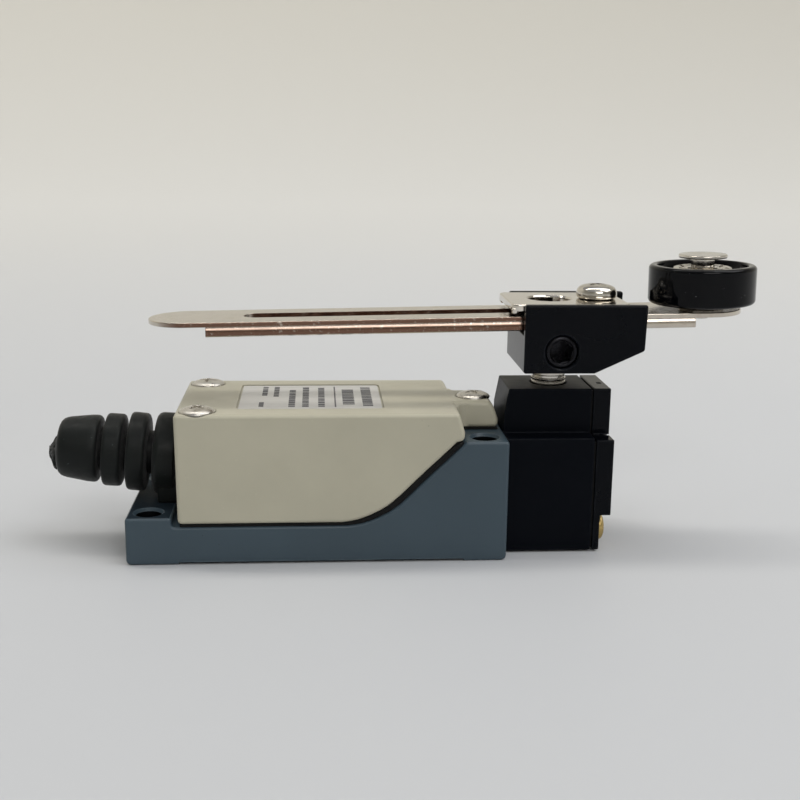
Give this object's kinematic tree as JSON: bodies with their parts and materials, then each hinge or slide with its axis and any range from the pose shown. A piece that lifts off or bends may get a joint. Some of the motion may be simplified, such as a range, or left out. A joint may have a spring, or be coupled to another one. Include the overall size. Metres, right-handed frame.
{
  "type": "roller lever limit switch",
  "caption": "Compact roller-lever limit switch: die-cast base and cover, rotary head, slotted adjustable lever with roller, rubber cable boot.",
  "frame": {"origin": "on the mounting plane, midway between the two head-end mounting holes", "axes": "+X from the cable end to the head, +Z off the mounting plane towards the lever, +Y across the body"},
  "size_m": [0.1218, 0.0274, 0.0504],
  "materials": {
    "blue_grey_paint": "blue-grey die-cast paint, satin",
    "beige_paint": "warm beige paint, satin",
    "black_seal": "black nitrile sheet and rings",
    "boot_rubber": "moulded dark rubber, matt",
    "black_paint": "black paint on die casting, semi-gloss",
    "nickel": "bright nickel plate",
    "brass": "yellow passivated plate",
    "dark_steel": "blackened steel",
    "label_foil": "pale printed foil",
    "roller_plastic": "glossy black plastic",
    "phenolic": "brown phenolic moulding",
    "copper": "copper strip with silver contacts",
    "white_plastic": "white moulding"
  },
  "bodies": {
    "enclosure": {"base_housing": "blue_grey_paint", "cover": "beige_paint", "cover_gasket": "black_seal", "cable_boot": "boot_rubber", "cover_screw_1": "nickel", "cover_screw_2": "nickel", "cover_screw_3": "nickel", "rating_label": "label_foil", "head_body": "black_paint", "cap_gasket": "black_seal", "head_cap": "black_paint", "cap_screw_1": "brass", "cap_screw_2": "brass", "cap_screw_3": "brass", "cap_screw_4": "brass", "head_seal": "black_seal", "shaft_seal": "black_seal", "switch_case": "phenolic", "case_screw_1": "nickel", "case_screw_2": "nickel", "terminal_closed_near": "brass", "terminal_closed_far": "brass", "terminal_open_near": "brass", "terminal_open_far": "brass", "terminal_screw_1": "nickel", "terminal_screw_2": "nickel", "terminal_screw_3": "nickel", "terminal_screw_4": "nickel", "earth_screw": "brass", "plunger_spring": "nickel"},
    "shaft": {"operating_shaft": "nickel", "actuating_cam": "dark_steel", "lever_bracket": "black_paint", "set_screw": "dark_steel", "clamp_plate": "nickel", "clamp_screw": "nickel"},
    "lever": {"lever_arm": "nickel", "roller_pin": "nickel", "roller_spacer": "nickel"},
    "roller_wheel": {"roller": "roller_plastic", "roller_bushing": "nickel"},
    "plunger": {"head_plunger": "dark_steel"},
    "contacts": {"contact_carrier": "white_plastic", "moving_bridge": "copper"}
  },
  "joints": [
    {"name": "lever_swing", "type": "hinge", "parent": "enclosure", "child": "shaft", "pos_m": [0.01235, 0, 0.02], "axis": [0, 0, 1], "range_deg": [-75, 75], "stiffness_Nm_per_rad": 0.12},
    {"name": "lever_length", "type": "slide", "parent": "shaft", "child": "lever", "axis": [0.9998, 0, 0.0201], "range_m": [0, 0.058]},
    {"name": "roller_spin", "type": "hinge", "parent": "lever", "child": "roller_wheel", "pos_m": [0.03862, 0, 0.04463], "axis": [-0.0201, 0, 0.9998], "continuous": true},
    {"name": "plunger_travel", "type": "slide", "parent": "enclosure", "child": "plunger", "axis": [-1, 0, 0], "range_m": [0, 0.0017], "stiffness_N_per_m": 900, "springref_m": -0.003, "deforming": ["plunger_spring"]},
    {"name": "contact_travel", "type": "slide", "parent": "enclosure", "child": "contacts", "axis": [-1, 0, 0], "range_m": [0, 0.0017]}
  ],
  "couplings": [
    {"joint": "contact_travel", "follows": "plunger_travel", "ratio": 1}
  ]
}
